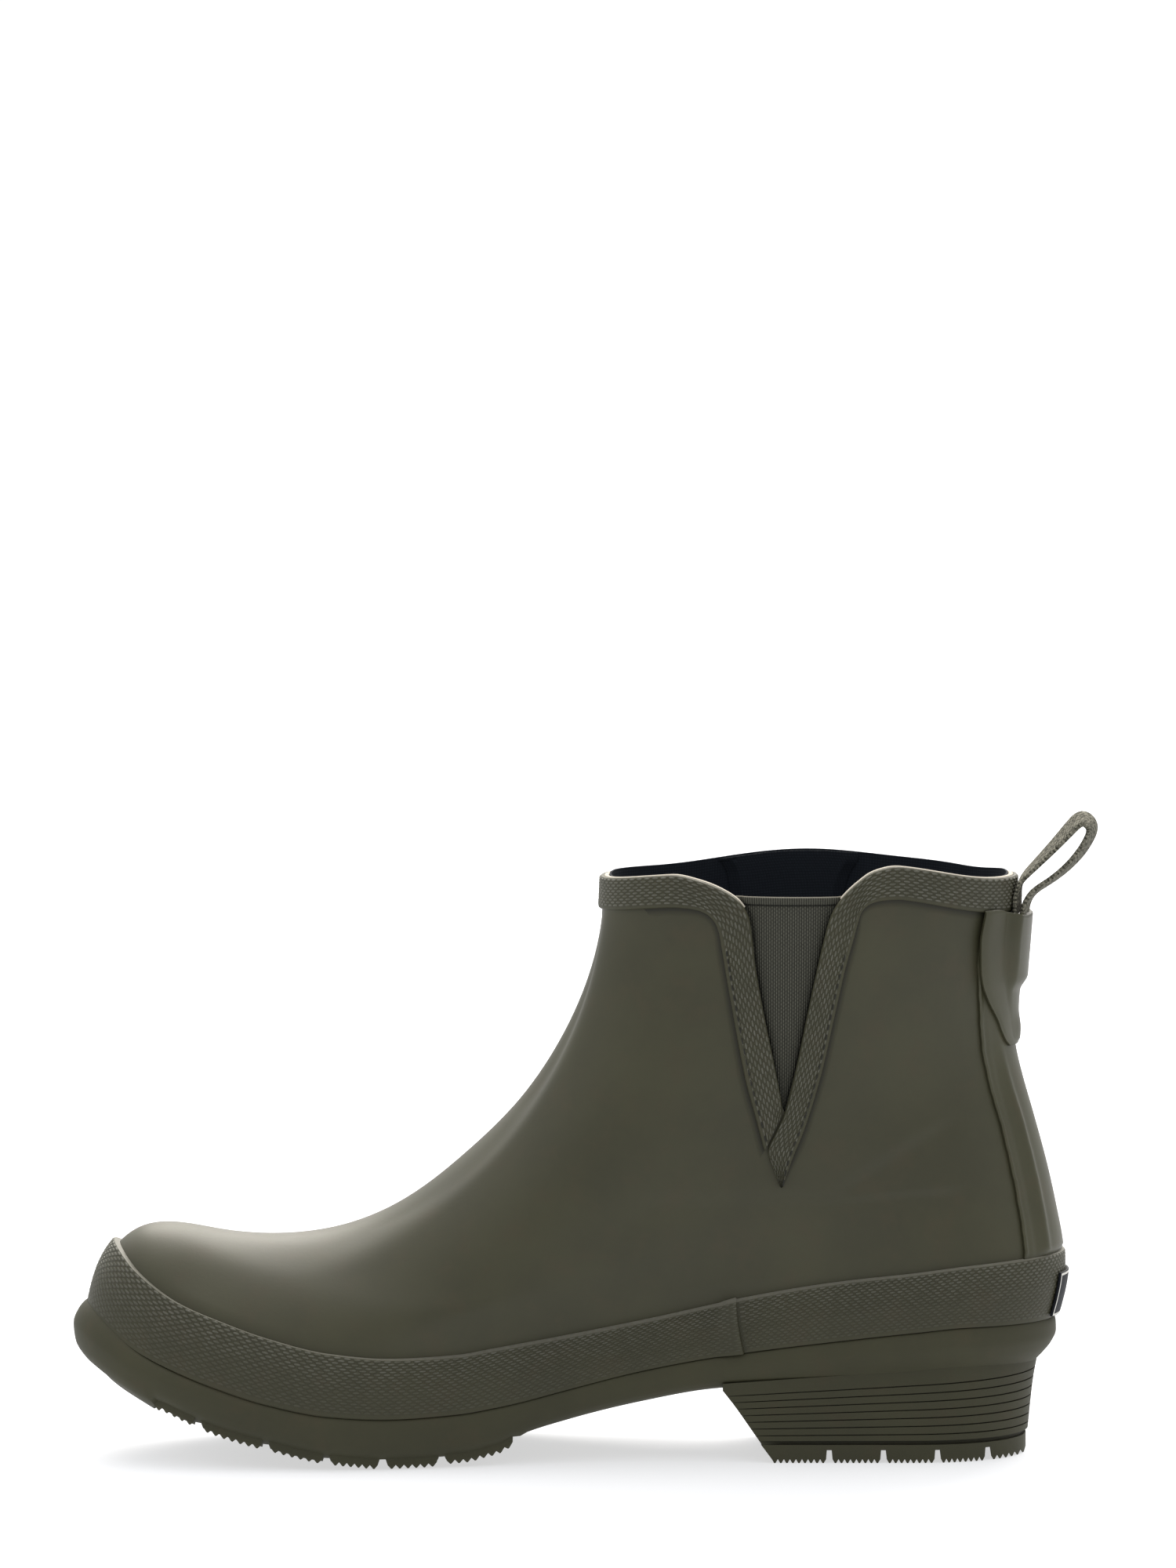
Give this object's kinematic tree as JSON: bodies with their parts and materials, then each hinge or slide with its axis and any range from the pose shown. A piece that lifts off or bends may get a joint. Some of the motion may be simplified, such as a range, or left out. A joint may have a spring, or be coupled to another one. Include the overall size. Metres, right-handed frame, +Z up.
{
  "type": "chelsea rain boot",
  "caption": "Ankle-high pull-on rain boot in olive rubber, with elastic side gores, textured foxing strip, low heel, slotted sole and webbing pull loop.",
  "frame": {"origin": "on the floor, under the middle of the boot's length and width", "axes": "-X towards the toe, -Y towards the inner side of the foot, +Z up"},
  "size_m": [0.2898, 0.092, 0.1817],
  "materials": {
    "upper_rubber": "matte olive natural rubber with a satin sheen",
    "foxing_rubber": "matte olive rubber strip with raised diamonds",
    "sole_rubber": "matte olive moulded rubber",
    "heel_rubber": "matte dark olive moulded rubber",
    "binding_tape": "olive tape with a pressed weave and a stitched edge",
    "elastic": "ribbed olive elastic",
    "webbing": "pale olive woven webbing",
    "label_plate": "dark moulded plate with a light edge, no lettering",
    "insole_fabric": "dark navy textile over foam"
  },
  "bodies": {
    "root": {"upper": "upper_rubber", "outsole": "sole_rubber", "insole": "insole_fabric", "foxing": "foxing_rubber", "collar_binding_front": "binding_tape", "collar_binding_back": "binding_tape", "gore_inner": "elastic", "gore_outer": "elastic", "back_stay": "upper_rubber", "loop_tab": "upper_rubber", "pull_loop": "webbing", "heel_label": "label_plate", "heel_block": "heel_rubber", "heel_top_lift": "heel_rubber"}
  },
  "joints": []
}
